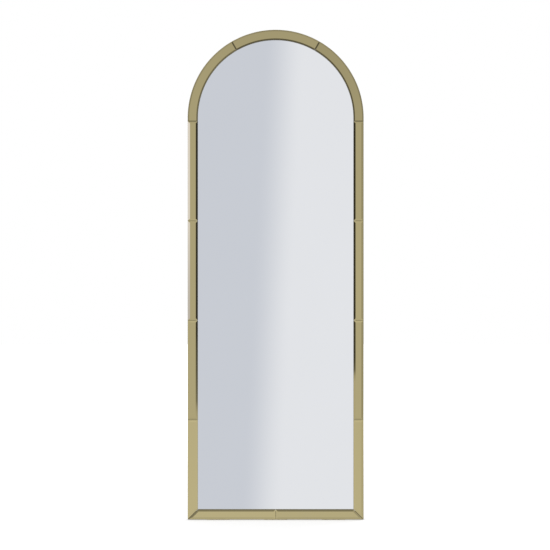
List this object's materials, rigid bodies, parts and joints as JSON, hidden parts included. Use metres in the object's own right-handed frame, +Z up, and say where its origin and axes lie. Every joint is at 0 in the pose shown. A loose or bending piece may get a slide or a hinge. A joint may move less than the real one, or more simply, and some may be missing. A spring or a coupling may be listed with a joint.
{
  "type": "leaning floor mirror",
  "caption": "Tall floor mirror with a semicircular top and a border of bevelled champagne mirror-glass strips, on a rebated frame with foot pads, wall bumpers and hanging rings.",
  "frame": {"origin": "middle of the box around the mirror, at the floor, under the foot pads", "axes": "+Z up along the mirror's height, -Y out of the mirror's front, +X to the right of someone who looks into it"},
  "size_m": [0.61, 0.033, 1.7],
  "materials": {
    "border_glass": "champagne-tinted mirror glass, polished, ground bevels",
    "mirror_glass": "silvered float glass, polished face",
    "frame_board": "fibreboard painted satin black",
    "backing_board": "plain brown hardboard",
    "dowel_wood": "fluted beech dowel",
    "foam_tape": "white double-sided foam tape",
    "soft_foam": "grey soft foam",
    "setting_rubber": "black rubber",
    "zinc_steel": "bright zinc-plated steel",
    "ring_steel": "zinc-plated drawn wire",
    "bumper_rubber": "black rubber",
    "foot_rubber": "pale translucent rubber"
  },
  "bodies": {
    "mirror": {"arch_strip_left": "border_glass", "arch_strip_crown": "border_glass", "arch_strip_right": "border_glass", "side_strip_left_1": "border_glass", "side_strip_left_2": "border_glass", "side_strip_left_3": "border_glass", "side_strip_left_4": "border_glass", "side_strip_right_1": "border_glass", "side_strip_right_2": "border_glass", "side_strip_right_3": "border_glass", "side_strip_right_4": "border_glass", "bottom_strip_left": "border_glass", "bottom_strip_right": "border_glass", "centre_mirror": "mirror_glass", "arch_rail_left": "frame_board", "arch_rail_crown": "frame_board", "arch_rail_right": "frame_board", "stile_left": "frame_board", "stile_right": "frame_board", "bottom_rail": "frame_board", "backing_board": "backing_board", "frame_dowels": "dowel_wood", "strip_tape": "foam_tape", "mirror_edge_tape": "foam_tape", "mirror_tape": "foam_tape", "foam_blocks": "soft_foam", "setting_blocks": "setting_rubber", "board_screws": "zinc_steel", "hanger_screws": "zinc_steel", "hanger_strap_left": "zinc_steel", "hanger_strap_right": "zinc_steel", "wall_bumper_upper_left": "bumper_rubber", "wall_bumper_lower_left": "bumper_rubber", "wall_bumper_upper_right": "bumper_rubber", "wall_bumper_lower_right": "bumper_rubber", "foot_pad_left": "foot_rubber", "foot_pad_centre": "foot_rubber", "foot_pad_right": "foot_rubber"},
    "ring_left": {"hanger_ring_left": "ring_steel"},
    "ring_right": {"hanger_ring_right": "ring_steel"}
  },
  "joints": [
    {"name": "ring_left_swing", "type": "hinge", "parent": "mirror", "child": "ring_left", "pos_m": [-0.286, 0.01285, 1.29], "axis": [1, 0, 0], "range_deg": [0, 180]},
    {"name": "ring_right_swing", "type": "hinge", "parent": "mirror", "child": "ring_right", "pos_m": [0.286, 0.01285, 1.29], "axis": [1, 0, 0], "range_deg": [0, 180]}
  ]
}
